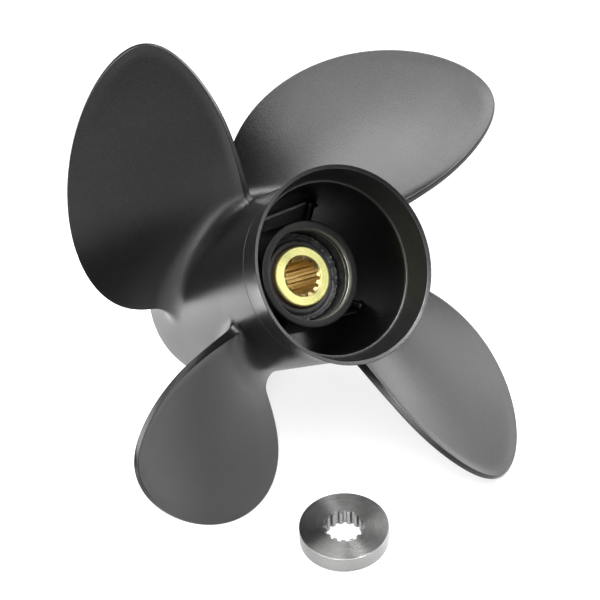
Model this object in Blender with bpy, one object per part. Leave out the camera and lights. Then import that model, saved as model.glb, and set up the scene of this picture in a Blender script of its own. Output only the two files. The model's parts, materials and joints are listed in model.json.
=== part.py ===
"""Left-hand boat propeller with four raked blades and a through-hub exhaust.

The propeller is modelled standing on the front end of its hub, with the shaft
axis along +Z and the aft end up. It is then tipped over towards +X until it
lies on its hub and two blades, the way it rests on a floor. Its splined thrust
washer lies flat beside it.

An angle called turn is measured round the shaft, clockwise as seen from
astern, starting from the side that ends up on top. Every blade's trailing edge
lies clockwise of its leading edge and aft of it, which makes the screw
left-handed. Sizes are in millimetres and degrees until a mesh is made.
"""

from math import atan2, cos, pi, radians, sin, sqrt

import bmesh
import bpy
from mathutils import Matrix, Vector

MM = 0.001
GAP = 0.3

# Screw
TIP_RADIUS = 178.0
PITCH = 457.0
BLADES = 4
FIRST_BLADE_TURN = 47.73

# Hub barrel, the outer tube of the casting, and the flare behind it
HUB_LENGTH = 170.0
BARREL_FRONT_RADIUS = 53.5
BARREL_AFT_RADIUS = 56.0
BARREL_WALL = 3.8
FLARE_LENGTH = 23.0
FLARE_RIM_RADIUS = 60.0
FLARE_RIM_WALL = 2.4
FLARE_THROAT_RADIUS = 53.0
FLARE_THROAT_DEPTH = 17.0

# Boss, the inner tube that the drive is pressed into
BOSS_RADIUS = 33.5
BOSS_BORE_RADIUS = 28.0
BOSS_AFT = 127.0
BOSS_FRONT = 4.0
BOSS_CHAMFER = 2.0
BOSS_SHOULDER_RADIUS = 22.5
BOSS_SHOULDER_LENGTH = 20.0

# Ribs that carry the barrel on the boss
RIB_THICKNESS = 6.0
RIB_AFT = 112.0
RIB_FRONT = 12.0
RIB_OFFSET_TURN = -2.5

# Rubber bushing and the brass sleeve in it
SLEEVE_RADIUS = 18.8
SLEEVE_AFT = 117.0
SLEEVE_FRONT = 18.0
BUSHING_AFT = 110.0
BUSHING_FRONT = 26.0
FLASH_RADIUS = 24.0
FLASH_HEIGHT = 2.5

# Fifteen-tooth shaft spline, in the sleeve and in the washer
SPLINE_TEETH = 15
SPLINE_MINOR_RADIUS = 10.9
SPLINE_MAJOR_RADIUS = 12.75
SPLINE_GROOVE_SHARE = 0.5
SLEEVE_COUNTERBORE_RADIUS = 12.95
SLEEVE_COUNTERBORE_DEPTH = 6.0

# Thrust washer, and its centre in plan, measured from the centre of the aft rim
WASHER_RADIUS = 27.3
WASHER_THICKNESS = 11.0
WASHER_CHAMFER = 0.6
WASHER_PLACE = (58.8, -55.7)
WASHER_TURN = 5.0

# Blade outline along the span, whose share s runs from 0 at the hub to 1 at the tip
ROOT_HEIGHT = 75.0
HALF_WIDTH = (31.5, 17.0, -28.5, 7.0)
SKEW = (8.5, 3.5, 9.0)
RAKE = (28.5, 28.5, -16.0)

# Blade section
ROOT_THICKNESS = 10.5
TIP_THICKNESS = 4.2
LEADING_THICKNESS = 2.2
TRAILING_THICKNESS = 2.6
CUP = 2.0
CUP_START = 0.7
ROOT_FILLET = 14.0
FILLET_FOOT = 1.0

# Resting pose: the angle at which the shaft rises to its aft end
SHAFT_RISE = 39.35

# Facets
ROUND_SEGMENTS = 64
CHORD_POINTS = 13
NOSE_POINTS = 7
ROOT_CAP_ROWS = NOSE_POINTS - 2
SPAN_ROWS = 10
FILLET_ROWS = 5


def clear_scene():
    for old in list(bpy.data.objects):
        bpy.data.objects.remove(old, do_unlink=True)


def material(name, colour, roughness, metallic):
    made = bpy.data.materials.new(name)
    made.use_nodes = True
    shader = made.node_tree.nodes["Principled BSDF"]
    shader.inputs["Base Color"].default_value = (*colour, 1.0)
    shader.inputs["Roughness"].default_value = roughness
    shader.inputs["Metallic"].default_value = metallic
    return made


def add_object(name, bm, finish, sharp_angle=30.0):
    """Turn a bmesh in millimetres into a smooth-shaded object in metres."""
    bmesh.ops.recalc_face_normals(bm, faces=bm.faces[:])
    bmesh.ops.scale(bm, vec=(MM, MM, MM), verts=bm.verts[:])
    mesh = bpy.data.meshes.new(name)
    bm.to_mesh(mesh)
    bm.free()
    mesh.shade_smooth()
    mesh.set_sharp_from_angle(angle=radians(sharp_angle))
    made = bpy.data.objects.new(name, mesh)
    bpy.context.collection.objects.link(made)
    if finish:
        mesh.materials.append(finish)
    return made


def turned(name, profile, finish):
    """A ring turned about the shaft axis from a closed profile of (radius, height)."""
    bm = bmesh.new()
    ring = [bm.verts.new((radius, 0.0, height)) for radius, height in profile]
    edges = [bm.edges.new((ring[i - 1], ring[i])) for i in range(len(ring))]
    bmesh.ops.spin(bm, geom=ring + edges, cent=(0, 0, 0), axis=(0, 0, 1), angle=2 * pi,
                   steps=ROUND_SEGMENTS, use_merge=True, use_duplicate=False)
    bmesh.ops.remove_doubles(bm, verts=bm.verts[:], dist=0.001)
    return add_object(name, bm, finish)


def polar(radius, turn, height):
    """A point at a turn in radians, with the hub standing on its front end."""
    return Vector((-radius * cos(turn), radius * sin(turn), height))


def barrel_radius(height):
    seam = HUB_LENGTH - FLARE_LENGTH
    return BARREL_FRONT_RADIUS + (BARREL_AFT_RADIUS - BARREL_FRONT_RADIUS) * height / seam


def hub_barrel(finish):
    seam = HUB_LENGTH - FLARE_LENGTH - GAP / 2
    lip = 1.0
    profile = [
        (barrel_radius(0) - lip, 0.0),
        (barrel_radius(lip), lip),
        (barrel_radius(seam), seam),
        (barrel_radius(seam) - BARREL_WALL, seam),
        (barrel_radius(0) - BARREL_WALL, 0.0),
    ]
    return turned("hub_barrel", profile, finish)


def exhaust_flare(finish):
    """The flared ring behind the barrel, which keeps the exhaust off the blades."""
    seam = HUB_LENGTH - FLARE_LENGTH + GAP / 2
    throat = HUB_LENGTH - FLARE_THROAT_DEPTH
    steps = 4
    outside = []
    for i in range(steps + 1):
        along = i / steps
        radius = BARREL_AFT_RADIUS + (FLARE_RIM_RADIUS - BARREL_AFT_RADIUS) * along ** 1.6
        outside.append((radius, seam + (HUB_LENGTH - seam) * along))
    inside = [
        (FLARE_RIM_RADIUS - FLARE_RIM_WALL, HUB_LENGTH),
        (FLARE_THROAT_RADIUS, throat),
        (BARREL_AFT_RADIUS - BARREL_WALL, throat - 0.5),
        (BARREL_AFT_RADIUS - BARREL_WALL, seam),
    ]
    return turned("exhaust_flare", outside + inside, finish)


def inner_boss(finish):
    chamfer_radius = BOSS_BORE_RADIUS + BOSS_CHAMFER
    shoulder = BOSS_FRONT + BOSS_SHOULDER_LENGTH
    profile = [
        (BOSS_RADIUS - 1.0, BOSS_FRONT),
        (BOSS_RADIUS, BOSS_FRONT + 1.0),
        (BOSS_RADIUS, BOSS_AFT - 0.6),
        (BOSS_RADIUS - 0.6, BOSS_AFT),
        (chamfer_radius, BOSS_AFT),
        (BOSS_BORE_RADIUS, BOSS_AFT - BOSS_CHAMFER),
        (BOSS_BORE_RADIUS, shoulder),
        (BOSS_SHOULDER_RADIUS, shoulder),
        (BOSS_SHOULDER_RADIUS, BOSS_FRONT),
    ]
    return turned("inner_boss", profile, finish)


def rib(number, turn, finish):
    """A web from the boss to the barrel, which divides two exhaust passages."""
    half = RIB_THICKNESS / 2
    bm = bmesh.new()
    corners = []
    for height in (RIB_FRONT, RIB_AFT):
        outer = barrel_radius(height) - BARREL_WALL - GAP
        inner = BOSS_RADIUS + GAP
        for radius, side in ((inner, -half), (outer, -half), (outer, half), (inner, half)):
            reach = sqrt(radius ** 2 - side ** 2)
            corners.append(bm.verts.new((reach, side, height)))
    front, aft = corners[:4], corners[4:]
    bm.faces.new(front)
    bm.faces.new(aft)
    for i in range(4):
        bm.faces.new((front[i - 1], front[i], aft[i], aft[i - 1]))
    bmesh.ops.rotate(bm, verts=bm.verts[:], cent=(0, 0, 0),
                     matrix=Matrix.Rotation(pi - turn, 3, "Z"))
    return add_object(f"rib_{number}", bm, finish)


def rubber_bushing(finish):
    outer = BOSS_BORE_RADIUS - GAP
    inner = SLEEVE_RADIUS + GAP
    profile = [
        (outer, BUSHING_FRONT),
        (outer, BUSHING_AFT),
        (FLASH_RADIUS, BUSHING_AFT),
        (FLASH_RADIUS - 1.0, BUSHING_AFT + FLASH_HEIGHT),
        (inner, BUSHING_AFT + FLASH_HEIGHT),
        (inner, BUSHING_FRONT),
    ]
    return turned("rubber_bushing", profile, finish)


def spline_outline(minor, major):
    """Corner points of a shaft spline, one tooth after another."""
    tooth_angle = 2 * pi / SPLINE_TEETH
    half_groove = tooth_angle * SPLINE_GROOVE_SHARE / 2
    points = []
    for tooth in range(SPLINE_TEETH):
        middle = tooth * tooth_angle
        for radius, offset in ((minor, -half_groove * 1.3), (major, -half_groove * 0.8),
                               (major, half_groove * 0.8), (minor, half_groove * 1.3)):
            points.append((radius * cos(middle + offset), radius * sin(middle + offset)))
    return points


def splined_ring(name, outer_profile, front, aft, finish, counterbore=None):
    """A turned ring with a spline cut through its bore by a broach."""
    blank_bore = SPLINE_MINOR_RADIUS
    inner = [(blank_bore, aft), (blank_bore, front)]
    if counterbore:
        radius, depth = counterbore
        inner = [(radius, aft), (radius, aft - depth), (blank_bore, aft - depth - 1.5),
                 (blank_bore, front)]
    ring = turned(name, outer_profile + inner, finish)
    bm = bmesh.new()
    outline = spline_outline(SPLINE_MINOR_RADIUS - 1.0, SPLINE_MAJOR_RADIUS)
    base = bm.faces.new([bm.verts.new((x, y, front - 1.0)) for x, y in outline])
    grown = bmesh.ops.extrude_face_region(bm, geom=[base])
    raised = [item for item in grown["geom"] if isinstance(item, bmesh.types.BMVert)]
    bmesh.ops.translate(bm, verts=raised, vec=(0, 0, aft - front + 2.0))
    broach = add_object(f"{name}_broach", bm, None)
    broach.hide_render = True
    broach.display_type = "WIRE"
    cut = ring.modifiers.new("spline", "BOOLEAN")
    cut.operation = "DIFFERENCE"
    cut.solver = "EXACT"
    cut.object = broach
    broach.parent = ring
    return ring


def splined_sleeve(finish):
    chamfer = 0.8
    outer = [
        (SLEEVE_RADIUS - chamfer, SLEEVE_FRONT),
        (SLEEVE_RADIUS, SLEEVE_FRONT + chamfer),
        (SLEEVE_RADIUS, SLEEVE_AFT - chamfer),
        (SLEEVE_RADIUS - chamfer, SLEEVE_AFT),
    ]
    counterbore = (SLEEVE_COUNTERBORE_RADIUS, SLEEVE_COUNTERBORE_DEPTH)
    return splined_ring("splined_sleeve", outer, SLEEVE_FRONT, SLEEVE_AFT, finish, counterbore)


def thrust_washer(finish):
    outer = [
        (WASHER_RADIUS - WASHER_CHAMFER, 0.0),
        (WASHER_RADIUS, WASHER_CHAMFER),
        (WASHER_RADIUS, WASHER_THICKNESS - WASHER_CHAMFER),
        (WASHER_RADIUS - WASHER_CHAMFER, WASHER_THICKNESS),
    ]
    return splined_ring("thrust_washer", outer, 0.0, WASHER_THICKNESS, finish)


def polynomial(terms, s, first_power):
    return sum(term * s ** (power + first_power) for power, term in enumerate(terms))


def span_shares():
    """Shares of the span at which a blade gets a row, close together in the root fillet."""
    fillet_share = ROOT_FILLET / (TIP_RADIUS - BARREL_FRONT_RADIUS)
    near = [fillet_share * (i / FILLET_ROWS) ** 1.5 for i in range(FILLET_ROWS)]
    first = atan2(fillet_share, sqrt(1 - fillet_share ** 2))
    far = [sin(first + (pi / 2 - first) * i / SPAN_ROWS) for i in range(SPAN_ROWS + 1)]
    return near + far


def fillet_width(rise):
    """How far the root fillet stands out from the blade, at a height above the barrel."""
    left = ROOT_FILLET - FILLET_FOOT - rise
    if left <= 0:
        return 0.0
    return ROOT_FILLET - sqrt(ROOT_FILLET ** 2 - left ** 2)


def cup_height(v, s):
    """The trailing edge is curled aft by the cup, least at the hub."""
    share = max(0.0, (v - CUP_START) / (1 - CUP_START))
    return CUP * share ** 2 * min(1.0, 3 * s)


def section(s, half_chord, grown):
    """Loop of (along, aft) offsets round a blade section, from the leading edge's back.

    The face that drives the water is aft and follows the helix. The back
    bulges forward of it, and both edges have round noses.
    """
    middle = ROOT_THICKNESS + (TIP_THICKNESS - ROOT_THICKNESS) * s
    spread = [sin(radians(70) * (2 * i / (CHORD_POINTS - 1) - 1)) for i in range(CHORD_POINTS)]

    def edge_thickness(v):
        return LEADING_THICKNESS + (TRAILING_THICKNESS - LEADING_THICKNESS) * (v + 1) / 2

    def thickness(v):
        return edge_thickness(v) + (middle - edge_thickness(v)) * (1 - v * v)

    def nose(v):
        radius = edge_thickness(v) / 2
        centre = v * max(half_chord - radius, 0.0)
        lift = cup_height(v, s) - radius
        arc = []
        for i in range(NOSE_POINTS):
            angle = pi / 2 - pi * i / (NOSE_POINTS - 1)
            reach = (radius + grown) * cos(angle)
            arc.append((centre + v * reach, lift + (radius + grown) * sin(angle)))
        return arc

    reach = max(half_chord - TRAILING_THICKNESS / 2, 0.0)
    face = [(v * reach, cup_height(v, s) + grown) for v in spread]
    back = [(v * reach, cup_height(v, s) - thickness(v) - grown) for v in spread]
    return face, nose(1.0), back[::-1], nose(-1.0)[::-1]


def blade_point(s, along, aft, root_turn):
    """Place an offset in a blade section on the blade itself."""
    rough_radius = BARREL_FRONT_RADIUS + (TIP_RADIUS - BARREL_FRONT_RADIUS) * s
    pitch_angle = atan2(PITCH, 2 * pi * rough_radius)
    skew = radians(polynomial(SKEW, s, 1))
    turn = skew + (along * cos(pitch_angle) - aft * sin(pitch_angle)) / rough_radius
    height = ROOT_HEIGHT + PITCH / (2 * pi) * skew + polynomial(RAKE, s, 1)
    height += along * sin(pitch_angle) + aft * cos(pitch_angle)
    foot = barrel_radius(height) + GAP
    return polar(foot + (TIP_RADIUS - foot) * s, root_turn + turn, height)


def blade(number, root_turn, finish):
    bm = bmesh.new()
    rows = []
    for s in span_shares():
        radius = BARREL_FRONT_RADIUS + (TIP_RADIUS - BARREL_FRONT_RADIUS) * s
        pitch_angle = atan2(PITCH, 2 * pi * radius)
        half_angle = radians(polynomial(HALF_WIDTH, s, 0)) * sqrt(max(0.0, 1 - s * s))
        half_chord = half_angle * radius / cos(pitch_angle)
        grown = fillet_width(radius - BARREL_FRONT_RADIUS)
        face, trailing, back, leading = section(s, half_chord, grown)
        loop = face + trailing + back + leading
        rows.append([bm.verts.new(blade_point(s, *offset, root_turn)) for offset in loop])
    for lower, upper in zip(rows, rows[1:]):
        for i in range(len(lower)):
            bm.faces.new((lower[i - 1], lower[i], upper[i], upper[i - 1]))
    bm.faces.new(rows[-1])
    close_root(bm, rows[0], section_offsets_at_root(), root_turn)
    return add_object(f"blade_{number}", bm, finish, sharp_angle=40.0)


def section_offsets_at_root():
    pitch_angle = atan2(PITCH, 2 * pi * BARREL_FRONT_RADIUS)
    half_chord = radians(HALF_WIDTH[0]) * BARREL_FRONT_RADIUS / cos(pitch_angle)
    return section(0.0, half_chord, fillet_width(0.0))


def close_root(bm, loop, offsets, root_turn):
    """Close the foot of a blade with strips that follow the round of the barrel."""
    face, trailing, back, leading = offsets
    count = len(face)
    aft_side = loop[:count]
    trailing_arc = loop[count:count + NOSE_POINTS]
    front_side = loop[count + NOSE_POINTS:2 * count + NOSE_POINTS][::-1]
    leading_arc = loop[2 * count + NOSE_POINTS:]
    columns = [leading_arc[::-1]]
    for i in range(count):
        aft_offset, front_offset = Vector(face[i]), Vector(back[count - 1 - i])
        between = []
        for k in range(1, ROOT_CAP_ROWS + 1):
            offset = aft_offset.lerp(front_offset, k / (ROOT_CAP_ROWS + 1))
            between.append(bm.verts.new(blade_point(0.0, *offset, root_turn)))
        columns.append([aft_side[i]] + between + [front_side[i]])
    columns.append(trailing_arc)
    for left, right in zip(columns, columns[1:]):
        for k in range(ROOT_CAP_ROWS + 1):
            bm.faces.new((left[k], left[k + 1], right[k + 1], right[k]))


def lay_down(propeller):
    """Tip the standing propeller over, so that it rests on its hub and two blades."""
    shaft = bpy.data.objects.new("shaft_axis", None)
    bpy.context.collection.objects.link(shaft)
    shaft.rotation_euler.y = radians(90 - SHAFT_RISE)
    for piece in propeller:
        piece.parent = shaft
    return shaft


def corners(pieces):
    """Lowest and highest corner of the evaluated pieces."""
    bpy.context.view_layer.update()
    depsgraph = bpy.context.evaluated_depsgraph_get()
    points = []
    for piece in pieces:
        shown = piece.evaluated_get(depsgraph)
        points += [shown.matrix_world @ vertex.co for vertex in shown.data.vertices]
    low = Vector(min(point[axis] for point in points) for axis in range(3))
    high = Vector(max(point[axis] for point in points) for axis in range(3))
    return low, high


def main():
    clear_scene()
    coat = material("black_powder_coat", (0.07, 0.07, 0.075), 0.42, 0.0)
    rubber = material("black_rubber", (0.02, 0.02, 0.02), 0.8, 0.0)
    brass = material("machined_brass", (0.80, 0.62, 0.24), 0.25, 1.0)
    steel = material("turned_steel", (0.62, 0.62, 0.60), 0.3, 1.0)

    propeller = [hub_barrel(coat), exhaust_flare(coat), inner_boss(coat)]
    for number in range(1, BLADES + 1):
        turn = radians(FIRST_BLADE_TURN + 360 / BLADES * (number - 1))
        propeller.append(blade(number, turn, coat))
        propeller.append(rib(number, turn + radians(RIB_OFFSET_TURN), coat))
    propeller += [rubber_bushing(rubber), splined_sleeve(brass)]
    shaft = lay_down(propeller)
    washer = thrust_washer(steel)
    washer.rotation_euler.z = radians(WASHER_TURN)

    low, _ = corners(propeller)
    shaft.location.z -= low.z
    rim_centre = shaft.matrix_world.to_3x3() @ Vector((0, 0, HUB_LENGTH * MM))
    washer.location = (rim_centre.x + WASHER_PLACE[0] * MM, rim_centre.y + WASHER_PLACE[1] * MM, 0)
    low, high = corners(propeller + [washer])
    for top in (shaft, washer):
        top.location.x -= (low.x + high.x) / 2
        top.location.y -= (low.y + high.y) / 2


main()
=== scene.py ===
import json
from math import cos, pi, radians, sin, sqrt, tau

import bmesh
import bpy
import numpy as np
from mathutils import Matrix, Vector, noise


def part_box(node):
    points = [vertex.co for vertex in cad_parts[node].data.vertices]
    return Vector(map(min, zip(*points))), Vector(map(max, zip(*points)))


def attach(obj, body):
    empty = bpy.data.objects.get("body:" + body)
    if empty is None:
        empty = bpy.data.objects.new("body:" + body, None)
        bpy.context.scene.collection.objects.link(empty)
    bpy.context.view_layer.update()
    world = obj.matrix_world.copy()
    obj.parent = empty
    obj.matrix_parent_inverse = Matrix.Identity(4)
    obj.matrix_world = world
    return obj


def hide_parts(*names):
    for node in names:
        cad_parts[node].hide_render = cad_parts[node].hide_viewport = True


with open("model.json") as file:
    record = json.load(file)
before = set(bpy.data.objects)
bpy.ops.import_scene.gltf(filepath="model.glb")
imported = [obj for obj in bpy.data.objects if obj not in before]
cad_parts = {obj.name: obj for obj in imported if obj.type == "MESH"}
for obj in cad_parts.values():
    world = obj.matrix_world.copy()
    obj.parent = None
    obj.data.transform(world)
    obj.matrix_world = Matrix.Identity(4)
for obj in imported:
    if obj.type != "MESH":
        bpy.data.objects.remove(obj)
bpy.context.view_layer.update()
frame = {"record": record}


# The propeller is one casting in aluminium: a slightly tapered barrel with a flared ring behind it,
# four raked blades that grow out of the barrel in wide fillets, and a boss inside on four ribs.
# It is poured, trimmed and blasted, powder-coated satin black, and then bored for the bushing.
MM = 0.001
BLADES = 4
FIRST_BLADE_TURN = radians(47.73)

# Sizes are in millimetres. In its own frame the hub stands on its front end: a height runs aft along
# the shaft, and a turn runs round it from its top side. A mount of the solids gives the shaft's place.
SLEEVE_AFT = 117.0
MOUNT_OFF_AXIS = 15.5
shaft_mount = next(m for m in frame["record"]["mounts"] if m["name"] == "sleeve_aft_face")
shaft_aft = Vector(shaft_mount["axis"]).normalized()
shaft_top = Vector((-shaft_aft.z, 0.0, shaft_aft.x))
hub_front = Vector(shaft_mount["pos_m"]) - SLEEVE_AFT * MM * shaft_aft - MOUNT_OFF_AXIS * MM * shaft_top
shaft_place = Matrix((-shaft_top, (0.0, 1.0, 0.0), shaft_aft)).transposed().to_4x4()
shaft_place.translation = hub_front


def polar(radius, turn, height):
    """Points in metres, in the hub's own frame."""
    return np.stack(np.broadcast_arrays(-radius * np.cos(turn), radius * np.sin(turn), height), -1) * MM


BARREL_FRONT_RADIUS, BARREL_AFT_RADIUS, BARREL_LENGTH = 53.5, 56.0, 147.0
BARREL_WALL = 3.8


def barrel_radius(height):
    return BARREL_FRONT_RADIUS + (BARREL_AFT_RADIUS - BARREL_FRONT_RADIUS) * height / BARREL_LENGTH


# A blade's sections lie on helices. HALF_WIDTH, SKEW and RAKE are polynomials in the share of the
# span, which is 0 at the hub and 1 at the tip.
TIP_RADIUS = 177.7
SPAN = TIP_RADIUS - BARREL_FRONT_RADIUS
PITCH = 457.0
ROOT_HEIGHT = 75.0
HALF_WIDTH = np.radians((31.35, 17.0, -28.5, 7.0))
SKEW = np.radians((0.0, 8.5, 3.5, 9.0))
RAKE = (0.0, 28.5, 28.5, -16.0)


def along(terms, s):
    """A quantity that changes along the blade's span, from its polynomial's terms."""
    return np.polynomial.polynomial.polyval(s, terms)


def helix(s):
    """Radius of the helical section at span share s, and its slope."""
    radius = BARREL_FRONT_RADIUS + SPAN * s
    return radius, np.arctan2(PITCH, tau * radius)


def on_blade(s, chordwise, aftwards):
    """Radius, turn and height of a point of a blade, given in the helical section at span share s."""
    radius, slope = helix(s)
    skew = along(SKEW, s)
    turn = FIRST_BLADE_TURN + skew + (chordwise * np.cos(slope) - aftwards * np.sin(slope)) / radius
    height = ROOT_HEIGHT + PITCH / tau * skew + along(RAKE, s)
    height = height + chordwise * np.sin(slope) + aftwards * np.cos(slope)
    foot = barrel_radius(height)
    return foot + (TIP_RADIUS - foot) * s, turn, height


def chord_place(x, s):
    """Distance along the helical section of a point at share x of the half disc that maps the blade."""
    radius, slope = helix(s)
    return along(HALF_WIDTH, s) * x * radius / np.cos(slope)


def rim_scale():
    """How far a share of the half disc reaches at right angles to the blade's edge, by direction."""
    step = 1e-3
    around = np.linspace(0.0, pi, 361)
    x, y = np.cos(around), np.sin(around)
    edge = polar(*on_blade(y, chord_place(x, y), 0.0))
    inside = polar(*on_blade(y * (1 - step), chord_place(x * (1 - step), y * (1 - step)), 0.0))
    tangent = np.gradient(edge, axis=0)
    tangent /= np.linalg.norm(tangent, axis=1, keepdims=True)
    reach = (edge - inside) / step / MM
    return around, np.linalg.norm(np.cross(reach, tangent), axis=1)


ROOT_THICKNESS, TIP_THICKNESS = 10.5, 4.2
LEADING_EDGE, TRAILING_EDGE, TRAILING_EDGE_AT_ROOT = 2.0, 4.0, 5.0
EDGE_ROUND, EDGE_SLANT = 0.9, 1.5
TRAILING_FROM, TRAILING_BLEND = radians(130), radians(45)
CUP, CUP_WIDTH = 1.8, 9.0


def blade_offsets(p, q, side, edge_share):
    """Span share and section offsets of the blade's skin at grid place p, q.

    side is 1 on the driving face, -1 on the back, and in between round the edge, and edge_share is
    the share of the edge's round that still lies outside that place.
    """
    x = p * np.sqrt(1 - q ** 2 * (1 - q ** 2 / 2))
    y = q * np.sqrt(1 - q ** 2 * p ** 2 / 2)
    bearing = np.arctan2(y, x)
    reach = np.interp(bearing, *rim_scale())
    aft_part = np.clip((TRAILING_FROM - bearing) / TRAILING_BLEND, 0, 1) ** 2
    inset = EDGE_ROUND * edge_share + EDGE_SLANT * aft_part * (side + 1) / 2
    shrink = 1 - inset / reach * np.maximum(np.abs(p), q) ** 10
    x, s = x * shrink, y * shrink
    trailing = TRAILING_EDGE + (TRAILING_EDGE_AT_ROOT - TRAILING_EDGE) * np.clip(1 - s / 0.6, 0, 1) ** 2
    aft_share = (1 + np.sin(x * pi / 2)) / 2
    edge = LEADING_EDGE + (trailing - LEADING_EDGE) * aft_share
    middle = ROOT_THICKNESS + (TIP_THICKNESS - ROOT_THICKNESS) * s
    thickness = edge + (middle - edge) * (1 - x ** 2 - s ** 2) / (1.02 - s ** 2)
    from_edge = (1 - np.hypot(x, s)) * reach
    cup = CUP * np.clip(1 - from_edge / CUP_WIDTH, 0, 1) ** 2 * np.minimum(1, 3 * s) * aft_part
    return s, chord_place(x, s), cup - thickness * (1 - side) / 2


ROOT_FILLET, AFT_FILLET_LOSS = 14.0, 0.48


def swell_into_fillet(s, chordwise, aftwards, fillet):
    """Push a closed section outwards near the hub, so that it meets the barrel tangentially."""
    loop = np.stack((chordwise, aftwards), -1)
    ahead = np.roll(loop, -1, 0) - loop
    ahead /= np.linalg.norm(ahead, axis=1, keepdims=True)
    tangent = ahead + np.roll(ahead, 1, 0)
    tangent /= np.linalg.norm(tangent, axis=1, keepdims=True)
    left = np.clip(fillet - SPAN * s, 0, fillet)
    swell = fillet - np.sqrt(fillet ** 2 - left ** 2)
    return chordwise - swell * tangent[:, 1], aftwards + swell * tangent[:, 0]


def strip(lower, upper, around=False):
    """Faces between two rows of vertex numbers, which around closes into a band."""
    if around:
        lower, upper = np.append(lower, lower[0]), np.append(upper, upper[0])
    return [(a, b, c, d) for a, b, c, d in zip(lower[:-1], lower[1:], upper[1:], upper[:-1])]


def sheet(rows, around=False, back_to_first=False):
    """Vertices and faces through rows of points, each row closed, or the last joined to the first."""
    count = len(rows[0])
    numbers = [np.arange(count) + count * i for i in range(len(rows))]
    following = numbers[1:] + (numbers[:1] if back_to_first else [])
    faces = [face for lower, upper in zip(numbers, following) for face in strip(lower, upper, around)]
    return np.concatenate(rows), faces


CHORD_CELLS, SPAN_CELLS, FILLET_ROWS, NOSE_CELLS = 56, 46, 10, 6


def section_grid():
    """Places round a blade's section: the spread of the chord, the edge's round, and the whole loop."""
    spread = np.sin(np.linspace(-1, 1, CHORD_CELLS + 1) * radians(80)) / sin(radians(80))
    round_angle = np.linspace(0, pi, 2 * NOSE_CELLS + 1)[1:-1]
    nose_side = np.sign(np.cos(round_angle)) * np.sqrt(np.abs(np.cos(round_angle)))
    nose_share = 1 - np.sqrt(np.sin(round_angle))
    ones = np.ones(CHORD_CELLS + 1)
    p = np.concatenate((spread, np.ones(len(nose_side)), spread[::-1], -np.ones(len(nose_side))))
    side = np.concatenate((ones, nose_side, -ones, nose_side[::-1]))
    share = np.concatenate((ones, nose_share, ones, nose_share[::-1]))
    return spread, nose_side, nose_share, p, side, share


def blade_walls(p, side, share):
    """Rows of points round the blade, from its fillet to its tip, and where its foot stands."""
    fillet = (ROOT_FILLET - 1 + side) * (1 - AFT_FILLET_LOSS * np.clip((p - 0.3) / 0.7, 0, 1) ** 2)
    rise = ROOT_FILLET * (1 - np.cos(np.linspace(0, pi / 2, FILLET_ROWS, endpoint=False)))
    rows = []
    for q in np.concatenate((rise / SPAN, np.linspace(ROOT_FILLET / SPAN, 1, SPAN_CELLS))):
        s, chordwise, aftwards = blade_offsets(p, np.full(len(p), q), side, share)
        if q * SPAN < 2 * ROOT_FILLET:
            chordwise, aftwards = swell_into_fillet(s, chordwise, aftwards, fillet)
        radius, turn, height = on_blade(s, chordwise, aftwards)
        if not rows:
            foot_turn, foot_height = turn, height
        rows.append(polar(radius, turn, height))
    return rows, foot_turn, foot_height


def close_tip(points, faces, top, spread, nose_side, nose_share):
    """Add the round that joins the face to the back along the blade's tip."""
    nose_count = len(nose_side)
    face_row = top[:CHORD_CELLS + 1]
    back_row = top[CHORD_CELLS + 1 + nose_count:][:CHORD_CELLS + 1][::-1]
    columns = [np.concatenate((face_row[:1], top[-nose_count:][::-1], back_row[:1]))]
    for i in range(1, CHORD_CELLS):
        here = np.full(nose_count, spread[i])
        s, chordwise, aftwards = blade_offsets(here, np.ones(nose_count), nose_side, nose_share)
        new = sum(len(batch) for batch in points) + np.arange(nose_count)
        points.append(polar(*on_blade(s, chordwise, aftwards)))
        columns.append(np.concatenate((face_row[i:i + 1], new, back_row[i:i + 1])))
    trailing_nose = top[CHORD_CELLS + 1:][:nose_count]
    columns.append(np.concatenate((face_row[-1:], trailing_nose, back_row[-1:])))
    for left, right in zip(columns, columns[1:]):
        faces += strip(left, right)


# The barrel's skin is four equal pieces, each a quarter turn wide that leans as its blade does.
STEPS_PER_QUARTER = 24
SKIN_RINGS = 10
SKIN_FRONT, SKIN_AFT = 2.3, 146.2
SKIN_CENTRE = radians(7.0)
SKIN_LEAN = 5 / 4 * radians(90) / (SKIN_AFT - SKIN_FRONT)


def spread_skin(points, faces, ring, foot_turn, foot_height):
    """Add the barrel's skin round the blade's foot, as a slanted quarter, and give its front edge."""
    count = len(ring)
    half = STEPS_PER_QUARTER // 2 - NOSE_CELLS
    corners = (half, CHORD_CELLS - half, CHORD_CELLS - half + STEPS_PER_QUARTER,
               2 * CHORD_CELLS - 3 * half + STEPS_PER_QUARTER, half + count)
    index = np.arange(half, half + count)
    edge_turn = np.interp(index, corners, np.array((-1, -1, 1, 1, -1)) * pi / BLADES)
    edge_height = np.interp(index, corners, (SKIN_FRONT, SKIN_AFT, SKIN_AFT, SKIN_FRONT, SKIN_FRONT))
    edge_turn, edge_height = np.roll(edge_turn, half), np.roll(edge_height, half)
    upright = FIRST_BLADE_TURN + SKIN_CENTRE
    foot_lean = foot_turn - upright - SKIN_LEAN * (foot_height - ROOT_HEIGHT)
    for i in range(1, SKIN_RINGS + 1):
        out = (i / SKIN_RINGS) ** 1.3
        height = foot_height + (edge_height - foot_height) * out
        turn = upright + foot_lean + (edge_turn - foot_lean) * out + SKIN_LEAN * (height - ROOT_HEIGHT)
        outer = sum(len(batch) for batch in points) + np.arange(count)
        points.append(polar(barrel_radius(height), turn, height))
        faces += strip(ring, outer, around=True)
        ring = outer
    front_turns = upright + SKIN_LEAN * (SKIN_FRONT - ROOT_HEIGHT)
    return front_turns + np.linspace(-pi / BLADES, pi / BLADES, STEPS_PER_QUARTER + 1)


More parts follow.
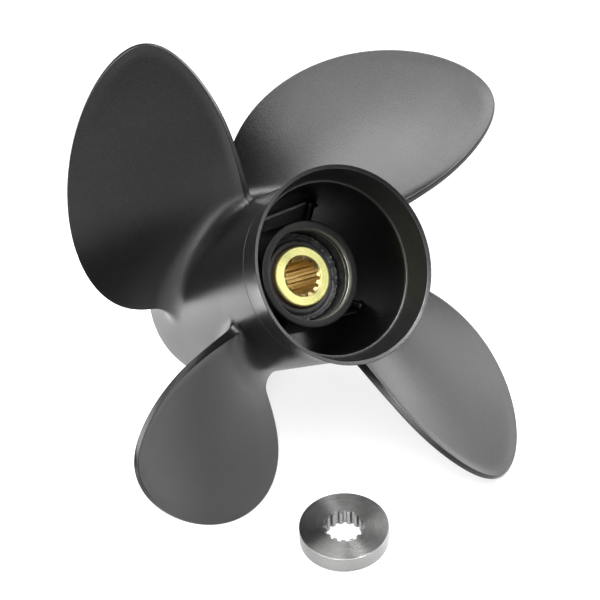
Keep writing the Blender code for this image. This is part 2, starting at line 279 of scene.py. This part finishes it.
def blade_and_skin():
    """A quarter of the barrel's skin with one blade on it: vertices, faces, its front edge's turns."""
    spread, nose_side, nose_share, p, side, share = section_grid()
    points, foot_turn, foot_height = blade_walls(p, side, share)
    _, faces = sheet(points, around=True)
    foot = np.arange(len(p))
    top = foot + len(p) * (len(points) - 1)
    close_tip(points, faces, top, spread, nose_side, nose_share)
    front_turns = spread_skin(points, faces, foot, foot_turn, foot_height)
    return np.concatenate(points), faces, front_turns


def eased(corners):
    """A profile whose corners (radius, height, setback) are rounded over their setback.

    A long side beside a corner gets one more point, which keeps its shading flat.
    """
    steps, support = 5, 0.35
    out = []
    for i, (radius, height, setback) in enumerate(corners):
        here = np.array((radius, height))
        if setback == 0:
            out.append(here)
            continue
        before = np.array(corners[i - 1][:2]) - here
        after = np.array(corners[(i + 1) % len(corners)][:2]) - here
        room = (np.linalg.norm(before), np.linalg.norm(after))
        start, end = here + before / room[0] * setback, here + after / room[1] * setback
        if room[0] > 3 * (setback + support):
            out.append(start + before / room[0] * support)
        out += [(1 - t) ** 2 * start + 2 * t * (1 - t) * here + t ** 2 * end
                for t in np.linspace(0, 1, steps + 1)]
        if room[1] > 3 * (setback + support):
            out.append(end + after / room[1] * support)
    return out


def lathe(profile, turns, closed=False):
    """A quarter turned about the shaft from (radius, height) points: vertices, faces."""
    return sheet([polar(radius, turns, height) for radius, height in profile], back_to_first=closed)


FLARE_FOOT, FLARE_TOP, GROOVE_RADIUS = 147.45, 170.0, 55.2
THROAT_RADIUS, THROAT_HEIGHT = 52.2, 153.0


def shell_profile():
    """The barrel's front lip, its bore, the flared ring inside and out, and the groove before it."""
    foot_radius, rim_radius = 56.25, 60.0
    outside = [(foot_radius + (rim_radius - foot_radius) * share ** 1.6,
                FLARE_FOOT + (FLARE_TOP - FLARE_FOOT) * share, 0)
               for share in np.linspace(0.94, 0.04, 10)]
    return eased([
        (barrel_radius(SKIN_FRONT), SKIN_FRONT, 0),
        (barrel_radius(0), 0.0, 2.0),
        (BARREL_FRONT_RADIUS - BARREL_WALL, 0.0, 0.6),
        (BARREL_FRONT_RADIUS - BARREL_WALL + 1.3, 76.0, 0),
        (THROAT_RADIUS, THROAT_HEIGHT, 0.9),
        (THROAT_RADIUS + 1.2, THROAT_HEIGHT + 0.1, 0.15),
        (57.5, FLARE_TOP - 0.95, 0.3),
        (rim_radius, FLARE_TOP, 0.5),
        *outside,
        (foot_radius, FLARE_FOOT, 0.3),
        (GROOVE_RADIUS, FLARE_FOOT - 0.15, 0.12),
        (GROOVE_RADIUS, FLARE_FOOT - 0.6, 0.12),
        (barrel_radius(146.7), 146.7, 0.35),
        (barrel_radius(SKIN_AFT), SKIN_AFT, 0),
    ])


BOSS_RADIUS, BOSS_AFT = 33.5, 127.0
BOSS_MOUTH_RADIUS, BOSS_BORE_RADIUS = 28.5, 28.0


def boss_profile():
    """Closed outline of the inner tube, with a bevelled mouth and an inward shoulder in front."""
    return eased([
        (BOSS_RADIUS, 4.0, 1.0),
        (BOSS_RADIUS, BOSS_AFT, 1.3),
        (BOSS_MOUTH_RADIUS + 0.4, BOSS_AFT, 0.2),
        (BOSS_MOUTH_RADIUS, 126.4, 0.2),
        (28.45, 124.6, 0.1),
        (28.2, 124.4, 0.1),
        (28.2, 121.2, 0.1),
        (BOSS_BORE_RADIUS, 121.0, 0.1),
        (BOSS_BORE_RADIUS, 24.0, 0.5),
        (22.5, 24.0, 0.5),
        (22.5, 4.0, 0.8),
    ])


def rib():
    """A web from the boss to the barrel, rounded at both ends and filleted into both walls."""
    front, aft, half, fillet, sunk = 12.0, 104.0, 3.0, 2.5, 0.5
    middle = FIRST_BLADE_TURN - radians(2.5)
    bend = np.linspace(0, pi, 17)
    flat = np.linspace(-1, 1, 13)[1:-1]
    sides, ends = np.ones(len(flat)), np.ones(len(bend))
    across = np.concatenate((np.cos(bend), -sides, -np.cos(bend), sides))
    beyond = np.concatenate((np.sin(bend), 0 * sides, -np.sin(bend), 0 * sides))
    level = np.concatenate((ends, -flat, -ends, flat))
    middle_height, half_height = (front + aft) / 2, (aft - front) / 2
    near = fillet * (1 - np.cos(np.linspace(0, pi / 2, 7)))
    stations = [("boss", -sunk)] + [("boss", d) for d in near] + [("barrel", d) for d in near[::-1]]
    stations.append(("barrel", -sunk))
    rows = []
    for wall, distance in stations:
        left = fillet - min(max(distance, 0.0), fillet)
        grown = fillet - sqrt(fillet ** 2 - left ** 2)
        height = middle_height + level * (half_height - half) + beyond * (half + grown)
        in_barrel = barrel_radius(height) - BARREL_WALL - distance
        radius = BOSS_RADIUS + distance if wall == "boss" else in_barrel
        rows.append(polar(radius, middle + across * (half + grown) / radius, height))
    vertices, faces = sheet(rows, around=True)
    count = len(across)
    caps = [tuple(range(count)), tuple(range(len(vertices) - count, len(vertices)))]
    return vertices, caps + faces


def joined(name, *parts):
    """One mesh object of several (vertices, faces) parts."""
    vertices, faces, first = [], [], 0
    for part_vertices, part_faces in parts:
        vertices.append(part_vertices)
        faces += [tuple(int(v) + first for v in face) for face in part_faces]
        first += len(part_vertices)
    mesh = bpy.data.meshes.new(name)
    mesh.from_pydata(np.concatenate(vertices).tolist(), [], faces)
    made = bpy.data.objects.new(name, mesh)
    bpy.context.collection.objects.link(made)
    return made


def ring_tree():
    """Geometry Nodes that repeat a wedge round the shaft and weld the seams between its copies."""
    tree = bpy.data.node_groups.new("wedges_round_shaft", "GeometryNodeTree")
    face = tree.interface
    face.new_socket("Wedge", in_out="INPUT", socket_type="NodeSocketGeometry")
    face.new_socket("Count", in_out="INPUT", socket_type="NodeSocketInt")
    face.new_socket("Weld distance", in_out="INPUT", socket_type="NodeSocketFloat")
    face.new_socket("Finish", in_out="INPUT", socket_type="NodeSocketMaterial")
    face.new_socket("Ring", in_out="OUTPUT", socket_type="NodeSocketGeometry")
    node, link = tree.nodes.new, tree.links.new
    start, end = node("NodeGroupInput"), node("NodeGroupOutput")
    single = node("GeometryNodeGeometryToInstance")
    copies = node("GeometryNodeDuplicateElements")
    copies.domain = "INSTANCE"
    share = node("ShaderNodeMath")
    share.operation = "DIVIDE"
    angle = node("ShaderNodeMath")
    angle.operation = "MULTIPLY"
    angle.inputs[1].default_value = tau
    turn = node("ShaderNodeCombineXYZ")
    rotate = node("GeometryNodeRotateInstances")
    real = node("GeometryNodeRealizeInstances")
    weld = node("GeometryNodeMergeByDistance")
    finish = node("GeometryNodeSetMaterial")
    link(start.outputs["Wedge"], single.inputs[0])
    link(single.outputs[0], copies.inputs["Geometry"])
    link(start.outputs["Count"], copies.inputs["Amount"])
    link(copies.outputs["Duplicate Index"], share.inputs[0])
    link(start.outputs["Count"], share.inputs[1])
    link(share.outputs[0], angle.inputs[0])
    link(angle.outputs[0], turn.inputs["Z"])
    link(copies.outputs["Geometry"], rotate.inputs["Instances"])
    link(turn.outputs[0], rotate.inputs["Rotation"])
    link(rotate.outputs[0], real.inputs[0])
    link(real.outputs[0], weld.inputs["Geometry"])
    link(start.outputs["Weld distance"], weld.inputs["Distance"])
    link(weld.outputs[0], finish.inputs["Geometry"])
    link(start.outputs["Finish"], finish.inputs["Material"])
    link(finish.outputs[0], end.inputs[0])
    return tree


RING = ring_tree()


def close_and_shade(mesh, sharp_angle):
    """Point the faces outwards and shade them smooth but for the edges sharper than that, in degrees."""
    bm = bmesh.new()
    bm.from_mesh(mesh)
    bmesh.ops.dissolve_degenerate(bm, edges=bm.edges[:], dist=1e-7)
    bmesh.ops.recalc_face_normals(bm, faces=bm.faces[:])
    bm.to_mesh(mesh)
    bm.free()
    mesh.shade_smooth()
    mesh.set_sharp_from_angle(angle=radians(sharp_angle))


def ring_of(wedge, count, finish, place, sharp_angle):
    """Repeat a wedge round the shaft, turn the result into a plain mesh and put it in its place."""
    modifier = wedge.modifiers.new("ring", "NODES")
    modifier.node_group = RING
    named = {item.name: item.identifier for item in RING.interface.items_tree if item.in_out == "INPUT"}
    modifier[named["Count"]] = count
    modifier[named["Weld distance"]] = 4e-6
    modifier[named["Finish"]] = finish
    depsgraph = bpy.context.evaluated_depsgraph_get()
    mesh = bpy.data.meshes.new_from_object(wedge.evaluated_get(depsgraph), depsgraph=depsgraph)
    wedge.modifiers.remove(modifier)
    wedge.data = mesh
    mesh.transform(place)
    close_and_shade(mesh, sharp_angle)


def new_material(name):
    """A material, its node maker, its linker and its Principled shader."""
    made = bpy.data.materials.new(name)
    made.use_nodes = True
    tree = made.node_tree
    return made, tree.nodes.new, tree.links.new, tree.nodes["Principled BSDF"]


def noise_on(node, link, source, scale, detail=2.0, roughness=0.5):
    made = node("ShaderNodeTexNoise")
    made.inputs["Scale"].default_value = scale
    made.inputs["Detail"].default_value = detail
    made.inputs["Roughness"].default_value = roughness
    link(source, made.inputs["Vector"])
    return made.outputs["Fac"]


def spread_to(node, link, source, low, high, to_low, to_high):
    made = node("ShaderNodeMapRange")
    sockets = ("From Min", "From Max", "To Min", "To Max")
    for socket, value in zip(sockets, (low, high, to_low, to_high)):
        made.inputs[socket].default_value = value
    link(source, made.inputs["Value"])
    return made.outputs["Result"]


def step_at(node, link, source, size, half_blend, below, above):
    """One value below a size in millimetres and another above it, blended over a short way."""
    return spread_to(node, link, source, (size - half_blend) * MM, (size + half_blend) * MM, below, above)


def combined(node, link, operation, first, second):
    made = node("ShaderNodeMath")
    made.operation = operation
    link(first, made.inputs[0])
    link(second, made.inputs[1])
    return made.outputs[0]


def mixed(node, link, share, first, second):
    """A colour or the output of a node where share is 0, and a second colour where it is 1."""
    made = node("ShaderNodeMix")
    made.data_type = "RGBA"
    link(share, made.inputs["Factor"])
    if isinstance(first, tuple):
        made.inputs["A"].default_value = (*first, 1.0)
    else:
        link(first, made.inputs["A"])
    made.inputs["B"].default_value = (*second, 1.0)
    return made.outputs["Result"]


def bump_from(node, link, height, distance, after=None):
    made = node("ShaderNodeBump")
    made.inputs["Distance"].default_value = distance
    made.inputs["Strength"].default_value = 1.0
    link(height, made.inputs["Height"])
    if after:
        link(after, made.inputs["Normal"])
    return made.outputs["Normal"]


def about_axis(node, link, place_in):
    """Distance of the shaded point from a turned piece's axis, and its height along it, in metres."""
    mapping = node("ShaderNodeMapping")
    back = place_in.inverted()
    mapping.inputs["Location"].default_value = back.translation
    mapping.inputs["Rotation"].default_value = back.to_euler()
    link(node("ShaderNodeTexCoord").outputs["Object"], mapping.inputs["Vector"])
    split, flat = node("ShaderNodeSeparateXYZ"), node("ShaderNodeCombineXYZ")
    link(mapping.outputs[0], split.inputs[0])
    link(split.outputs["X"], flat.inputs["X"])
    link(split.outputs["Y"], flat.inputs["Y"])
    radius = node("ShaderNodeVectorMath")
    radius.operation = "LENGTH"
    link(flat.outputs[0], radius.inputs[0])
    return radius.outputs["Value"], split.outputs["Z"]


def black_powder_coat():
    """Satin black powder coat, finely pebbled, over a faint waviness of the casting underneath.

    Painted shade darkens the exhaust passage, which also reflects less; the boss's bore is machined bare.
    """
    pits, tops = (0.0015, 0.0015, 0.0016), (0.0075, 0.0075, 0.0077)
    passage_painted_shade, bare_metal = (0.0012, 0.0012, 0.0012), (0.34, 0.34, 0.33)
    bare_from = 61.0
    made, node, link, shader = new_material("black_powder_coat")
    place = node("ShaderNodeTexCoord").outputs["Object"]
    radius, height = about_axis(node, link, shaft_place)
    cast = noise_on(node, link, place, 45.0, 3.0)
    pebble = noise_on(node, link, place, 1250.0, 2.0)
    grain = noise_on(node, link, place, 5200.0, 1.0)
    cloud = noise_on(node, link, place, 22.0, 4.0, 0.6)

    outside_boss = step_at(node, link, radius, BOSS_RADIUS, 0.2, 0, 1)
    inside_barrel = step_at(node, link, radius, THROAT_RADIUS + 0.15, 0.15, 1, 0)
    before_throat = step_at(node, link, height, THROAT_HEIGHT - 1.5, 0.5, 1, 0)
    passage = combined(node, link, "MULTIPLY", inside_barrel, before_throat)
    passage = combined(node, link, "MULTIPLY", outside_boss, passage)
    in_boss_bore = step_at(node, link, radius, BOSS_MOUTH_RADIUS + 0.05, 0.15, 1, 0)
    behind_shoulder = step_at(node, link, height, bare_from, 1.0, 0, 1)
    bare = combined(node, link, "MULTIPLY", in_boss_bore, behind_shoulder)

    colour = mixed(node, link, spread_to(node, link, pebble, 0.35, 0.65, 0, 1), pits, tops)
    # Painted shade: the exhaust passage is darkened to near black.
    colour = mixed(node, link, passage, colour, passage_painted_shade)
    colour = mixed(node, link, bare, colour, bare_metal)
    link(colour, shader.inputs["Base Color"])
    link(spread_to(node, link, cloud, 0.3, 0.7, 0.28, 0.34), shader.inputs["Roughness"])
    # Part of the passage's painted shade: the coat reflects less there.
    link(spread_to(node, link, passage, 0, 1, 0.4, 0.1), shader.inputs["Specular IOR Level"])
    link(bare, shader.inputs["Metallic"])
    wavy = bump_from(node, link, cast, 0.00012)
    pebbled = bump_from(node, link, pebble, 0.00012, wavy)
    link(bump_from(node, link, grain, 0.000004, pebbled), shader.inputs["Normal"])
    return made


skin_vertices, skin_faces, front_turns = blade_and_skin()
plain_turns = np.linspace(0.0, tau / BLADES, STEPS_PER_QUARTER + 1)
casting = joined(
    "propeller_casting",
    (skin_vertices, skin_faces),
    lathe(shell_profile(), front_turns),
    lathe(boss_profile(), plain_turns, closed=True),
    rib(),
)
ring_of(casting, BLADES, black_powder_coat(), shaft_place, 40.0)
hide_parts("hub_barrel", "exhaust_flare", "inner_boss", "rib_1", "rib_2", "rib_3", "rib_4",
            "blade_1", "blade_2", "blade_3", "blade_4")
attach(casting, "root")


# The bushing is a rubber ring, bonded to the brass sleeve and pressed into the boss, so that it slips
# when a blade strikes something. Its end has a smooth collar, a moulded valley, and a flash by the
# boss's wall that was torn off.
BUSHING_STEPS = 240


def rubber_bushing_mesh():
    """An outline of (radius, height, torn) points turned about the shaft, rough where it is torn."""
    profile = [
        (19.05, 26.0, 0), (27.7, 26.0, 0), (27.75, 60.0, 0), (27.75, 107.5, 0), (27.55, 109.6, 0.2),
        (27.3, 111.0, 0.7), (27.0, 112.0, 1.0), (26.6, 112.3, 1.0), (26.2, 112.1, 0.9),
        (25.8, 111.5, 0.8), (25.4, 110.9, 0.7), (25.0, 110.5, 0.5), (24.5, 110.3, 0.4),
        (24.0, 110.2, 0.3), (23.5, 110.5, 0.2), (23.1, 111.3, 0.1), (22.8, 112.4, 0),
        (22.4, 113.1, 0), (21.8, 113.4, 0), (20.9, 113.5, 0), (20.0, 113.3, 0), (19.4, 112.7, 0),
        (19.05, 111.6, 0), (19.05, 80.0, 0),
    ]
    widest = BOSS_BORE_RADIUS - 0.2
    turns = np.arange(BUSHING_STEPS) * tau / BUSHING_STEPS
    rows = []
    for radius, height, torn in profile:
        row = []
        for turn in turns:
            where = Vector((cos(turn) * radius, sin(turn) * radius, 0.0)) * 0.7
            rough = torn * (noise.noise(where) + 0.6 * noise.noise(where * 2.9))
            row.append((min(radius + 0.4 * rough, widest), height + 1.5 * rough))
        radii, heights = np.array(row).T
        rows.append(polar(radii, turns, heights))
    return sheet(rows, around=True, back_to_first=True)


def black_rubber():
    """Moulded rubber: matt, a little dusty, with a soft skin on its collar."""
    clean, dusty = (0.010, 0.010, 0.011), (0.028, 0.028, 0.029)
    made, node, link, shader = new_material("black_rubber")
    place = node("ShaderNodeTexCoord").outputs["Object"]
    skin = noise_on(node, link, place, 700.0, 5.0, 0.65)
    dust = noise_on(node, link, place, 160.0, 4.0)
    colour = mixed(node, link, spread_to(node, link, dust, 0.4, 0.75, 0, 1), clean, dusty)
    link(colour, shader.inputs["Base Color"])
    link(spread_to(node, link, dust, 0.3, 0.7, 0.42, 0.62), shader.inputs["Roughness"])
    link(bump_from(node, link, skin, 0.00008), shader.inputs["Normal"])
    return made


bushing = joined("drive_bushing", rubber_bushing_mesh())
bushing.data.materials.append(black_rubber())
bushing.data.transform(shaft_place)
close_and_shade(bushing.data, 50.0)
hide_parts("rubber_bushing")
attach(bushing, "root")


# The sleeve is turned from brass bar, faced, chamfered and counterbored, and a broach is then drawn
# through it that cuts fifteen teeth for the shaft's spline.
SPLINE_TEETH = 15
TOOTH_TOP, PAST_ROOT = 10.9, 12.9
# Turn in degrees from the middle of a gap, and radius, from there to the middle of a tooth.
TOOTH_FORM = ((0.0, 12.75), (2.2, 12.75), (3.7, 12.73), (4.5, 12.58), (5.0, 12.25), (5.6, 11.75),
              (6.1, 11.35), (6.6, 11.07), (7.2, 10.93), (8.2, 10.9), (10.1, 10.9), (12.0, 10.9))


def splined_wedge(outside, bore):
    """A one-tooth wedge through (radius, height) points; those of the bore also follow the teeth."""
    turns, teeth = np.array([(-turn, radius) for turn, radius in TOOTH_FORM[:0:-1]] + list(TOOTH_FORM)).T
    turns = np.radians(turns)
    rows = [polar(radius, turns, height) for radius, height in outside]
    rows += [polar(np.maximum(teeth, radius), turns, height) for radius, height in bore]
    return sheet(rows, back_to_first=True)


def splined_bore(top, bottom, chamfer, top_radius):
    """Radius and height down a splined bore whose teeth are chamfered at both ends."""
    lower_chamfer = 0.8
    down = [(top_radius - (top_radius - TOOTH_TOP) * t, top - chamfer * t) for t in np.linspace(0, 1, 9)]
    down += [(TOOTH_TOP, height) for height in np.linspace(top - chamfer, bottom + lower_chamfer, 12)[1:]]
    down += [(TOOTH_TOP + (PAST_ROOT - TOOTH_TOP) * t, bottom + lower_chamfer * (1 - t))
             for t in np.linspace(0, 1, 7)[1:]]
    return down


def turned_metal(name, place_in, outer, colours, wall_colour, marks, anisotropy,
                 tooth_end_shade_above=None, tooth_end_shade_colour=None):
    """Bright turned metal: rings from the tool about an axis, which spread the highlight across them.

    colours are those of its faces, and wall_colour that of the bore and of the rim at radius outer.
    The ends of the teeth are painted darker above a given height, a painted shade by the counterbore's
    floor.
    """
    made, node, link, shader = new_material(name)
    place = node("ShaderNodeTexCoord").outputs["Object"]
    radius, height = about_axis(node, link, place_in)
    rings = node("ShaderNodeCombineXYZ")
    link(radius, rings.inputs["X"])
    link(height, rings.inputs["Z"])
    tool_marks = noise_on(node, link, rings.outputs[0], marks, 3.0, 0.6)
    handling = noise_on(node, link, place, 260.0, 4.0, 0.6)
    bore = step_at(node, link, radius, PAST_ROOT - 0.015, 0.035, 1, 0)
    rim = step_at(node, link, radius, outer - 0.1, 0.05, 0, 1)
    walls = combined(node, link, "MAXIMUM", bore, rim)

    colour = mixed(node, link, spread_to(node, link, handling, 0.35, 0.7, 0, 1), *colours)
    colour = mixed(node, link, walls, colour, wall_colour)
    # Painted shade: the teeth's ends are darkened above that height.
    if tooth_end_shade_above:
        above = step_at(node, link, height, tooth_end_shade_above, 0.05, 0, 1)
        tooth_ends = combined(node, link, "MULTIPLY", bore, above)
        colour = mixed(node, link, tooth_ends, colour, tooth_end_shade_colour)
    link(colour, shader.inputs["Base Color"])
    shader.inputs["Metallic"].default_value = 1.0
    link(spread_to(node, link, tool_marks, 0.3, 0.7, 0.26, 0.31), shader.inputs["Roughness"])
    link(bump_from(node, link, tool_marks, 0.000001), shader.inputs["Normal"])

    # The highlight is drawn out away from a point down the axis: outwards on faces, along on walls.
    shader.inputs["Anisotropic"].default_value = anisotropy
    arm = node("ShaderNodeVectorMath")
    arm.operation = "SUBTRACT"
    arm.inputs[1].default_value = place_in @ Vector((0.0, 0.0, -0.2))
    link(place, arm.inputs[0])
    link(arm.outputs[0], shader.inputs["Tangent"])
    return made


SLEEVE_RADIUS, SLEEVE_FRONT = 18.8, 18.0
COUNTERBORE_RADIUS, COUNTERBORE_FLOOR = 12.95, 115.7
sleeve_outside = [
    (13.3, SLEEVE_FRONT), (17.7, SLEEVE_FRONT), (18.0, SLEEVE_FRONT), (18.15, SLEEVE_FRONT + 0.05),
    (18.7, SLEEVE_FRONT + 0.6), (SLEEVE_RADIUS, SLEEVE_FRONT + 0.9), (SLEEVE_RADIUS, 60.0),
    (SLEEVE_RADIUS, SLEEVE_AFT - 1.1), (18.75, SLEEVE_AFT - 0.8), (18.2, SLEEVE_AFT - 0.15),
    (18.0, SLEEVE_AFT), (17.7, SLEEVE_AFT), (13.5, SLEEVE_AFT), (13.2, SLEEVE_AFT),
    (12.98, SLEEVE_AFT - 0.2), (COUNTERBORE_RADIUS, SLEEVE_AFT - 0.6),
    (COUNTERBORE_RADIUS, COUNTERBORE_FLOOR),
]
sleeve_bore = splined_bore(COUNTERBORE_FLOOR, SLEEVE_FRONT, 0.9, COUNTERBORE_RADIUS)
# The brass's teeth are painted darker at their aft ends, a painted shade.
brass = turned_metal(
    "turned_brass", shaft_place, SLEEVE_RADIUS, colours=((0.90, 0.88, 0.37), (0.84, 0.80, 0.31)),
    wall_colour=(0.80, 0.62, 0.28), marks=3500.0, anisotropy=0.8,
    tooth_end_shade_above=114.75, tooth_end_shade_colour=(0.30, 0.25, 0.12))
sleeve = joined("drive_sleeve", splined_wedge(sleeve_outside, sleeve_bore))
ring_of(sleeve, SPLINE_TEETH, brass, shaft_place, 28.0)
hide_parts("splined_sleeve")
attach(sleeve, "root")


# The thrust washer is a steel ring, turned bright on its face and rim, with the same fifteen teeth
# broached through it. It lies by itself on the floor, on its forward face.
WASHER_RADIUS, WASHER_THICKNESS = 27.3, 11.0
washer_low, washer_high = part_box("thrust_washer")
washer_centre = (washer_low + washer_high) / 2
washer_place = (Matrix.Translation((washer_centre.x, washer_centre.y, 0.0))
                @ Matrix.Rotation(radians(5.0), 4, "Z"))

washer_outside = [
    (13.3, 0.0), (26.4, 0.0), (26.7, 0.0), (26.9, 0.05), (27.25, 0.4), (WASHER_RADIUS, 0.7),
    (WASHER_RADIUS, 5.0), (WASHER_RADIUS, WASHER_THICKNESS - 0.4), (27.28, WASHER_THICKNESS - 0.2),
    (27.18, WASHER_THICKNESS - 0.06), (27.0, WASHER_THICKNESS), (26.7, WASHER_THICKNESS),
    (13.4, WASHER_THICKNESS), (13.1, WASHER_THICKNESS),
]
washer_bore = splined_bore(WASHER_THICKNESS, 0.0, 0.25, 11.1)
steel = turned_metal(
    "turned_steel", washer_place, WASHER_RADIUS, colours=((0.21, 0.21, 0.207), (0.17, 0.17, 0.168)),
    wall_colour=(0.25, 0.25, 0.247), marks=3000.0, anisotropy=0.9)
washer = joined("splined_washer", splined_wedge(washer_outside, washer_bore))
ring_of(washer, SPLINE_TEETH, steel, washer_place, 28.0)
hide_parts("thrust_washer")
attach(washer, "root")


# The floor is a matt white sheet, plain from edge to edge, which glows a little as if lit from below.
FLOOR_SIZE, FLOOR_GLOW = 16.0, 0.74
half_floor = FLOOR_SIZE / 2
floor_mesh = bpy.data.meshes.new("floor")
floor_mesh.from_pydata([(-half_floor, -half_floor, 0), (half_floor, -half_floor, 0),
                        (half_floor, half_floor, 0), (-half_floor, half_floor, 0)], [], [(0, 1, 2, 3)])
floor = bpy.data.objects.new("floor", floor_mesh)
bpy.context.collection.objects.link(floor)
white_sheet, node, link, shader = new_material("white_sheet")
fibre = noise_on(node, link, node("ShaderNodeTexCoord").outputs["Object"], 900.0, 3.0)
paper = mixed(node, link, fibre, (0.26, 0.26, 0.26), (0.28, 0.28, 0.28))
link(paper, shader.inputs["Base Color"])
shader.inputs["Roughness"].default_value = 0.7
shader.inputs["Emission Color"].default_value = (1.0, 1.0, 1.0, 1.0)
shader.inputs["Emission Strength"].default_value = FLOOR_GLOW
floor_mesh.materials.append(white_sheet)


# The studio is dark but for its lamps. Soft boxes hang over the part and stand behind and in front
# of it, each as bright as its reflection in the coat, a card gives the brass its shine, and gridded
# lamps light pools of the floor. Past the floor's edge the camera sees a pale grey like the floor's.
BLADE_LEVEL = Vector((0.0, 0.0, 0.12))


def lamp_at(name, place, way, width, height, brightness):
    """A rectangular lamp of one brightness all over, facing against the direction given."""
    light = bpy.data.lights.new(name, "AREA")
    light.shape = "RECTANGLE"
    light.size, light.size_y = width, height
    light.energy = brightness * pi * width * height
    made = bpy.data.objects.new(name, light)
    made.location = place
    made.rotation_euler = way.to_track_quat("Z", "Y").to_euler()
    bpy.context.collection.objects.link(made)
    return light


def soft_box(name, azimuth, elevation, distance, width, height, brightness):
    """A soft box seen from the part at that azimuth and elevation, in degrees."""
    turn, rise = radians(azimuth), radians(elevation)
    way = Vector((sin(turn) * cos(rise), -cos(turn) * cos(rise), sin(rise)))
    lamp_at(name, BLADE_LEVEL + way * distance, way, width, height, brightness)


def floor_pool(name, place, width, spread, brightness):
    """A lamp with a grid that points straight down, so that it lights the floor under it alone."""
    down = lamp_at(name, Vector(place), Vector((0.0, 0.0, 1.0)), width, width, brightness)
    down.spread = radians(spread)


soft_box("overhead_left", 337, 70, 1.1, 1.0, 1.1, 9.4)
soft_box("overhead_right", 60, 62, 1.1, 0.8, 0.8, 4.0)
soft_box("behind_low", 182, 6, 1.2, 0.9, 0.5, 4.6)
soft_box("behind_high", 195, 38, 1.2, 0.8, 0.5, 6.1)
soft_box("front_high", 38, 36, 1.2, 0.6, 0.5, 7.6)
soft_box("front_low", 16, 2, 1.3, 0.95, 0.24, 8.5)
soft_box("right_high", 155, 40, 1.2, 0.6, 0.5, 5.0)
soft_box("right_low", 146, 10, 1.2, 0.6, 0.42, 6.2)
soft_box("card_for_the_brass", 124, 28, 1.2, 0.8, 0.2, 1.6)
floor_pool("pool_left", (-0.225, -0.135, 0.42), 0.16, 50, 18.0)
floor_pool("pool_front_left", (-0.32, -0.33, 0.5), 0.3, 90, 6.0)
floor_pool("pool_right", (0.2, 0.11, 0.45), 0.2, 50, 9.0)
floor_pool("pool_behind_right", (0.2, 0.35, 0.6), 0.3, 90, 3.2)

STUDIO_LEVEL, LEVEL_PAST_FLOOR = 0.02, 0.78
world = bpy.data.worlds.new("dark_studio")
world.use_nodes = True
node, link = world.node_tree.nodes.new, world.node_tree.links.new
background = world.node_tree.nodes["Background"]
background.inputs["Color"].default_value = (1.0, 1.0, 1.0, 1.0)
seen = node("ShaderNodeLightPath").outputs["Is Camera Ray"]
link(spread_to(node, link, seen, 0, 1, STUDIO_LEVEL, LEVEL_PAST_FLOOR), background.inputs["Strength"])
bpy.context.scene.world = world
bpy.context.scene.view_settings.view_transform = "Standard"


# The camera looks down on the flared end from the right, a metre away, as in the photograph.
CAMERA_PLACE = (0.63969, -0.50857, 0.77822)
CAMERA_AZIMUTH, CAMERA_ELEVATION, CAMERA_ROLL = 51.861, 39.756, -2.607
lens = bpy.data.cameras.new("camera")
lens.lens = 102.697
lens.sensor_width = 36.0
lens.clip_start, lens.clip_end = 0.05, 20.0
camera = bpy.data.objects.new("camera", lens)
bpy.context.collection.objects.link(camera)
camera.matrix_world = (Matrix.Translation(CAMERA_PLACE)
                       @ Matrix.Rotation(radians(CAMERA_AZIMUTH), 4, "Z")
                       @ Matrix.Rotation(radians(90 - CAMERA_ELEVATION), 4, "X")
                       @ Matrix.Rotation(radians(CAMERA_ROLL), 4, "Z"))
bpy.context.scene.camera = camera
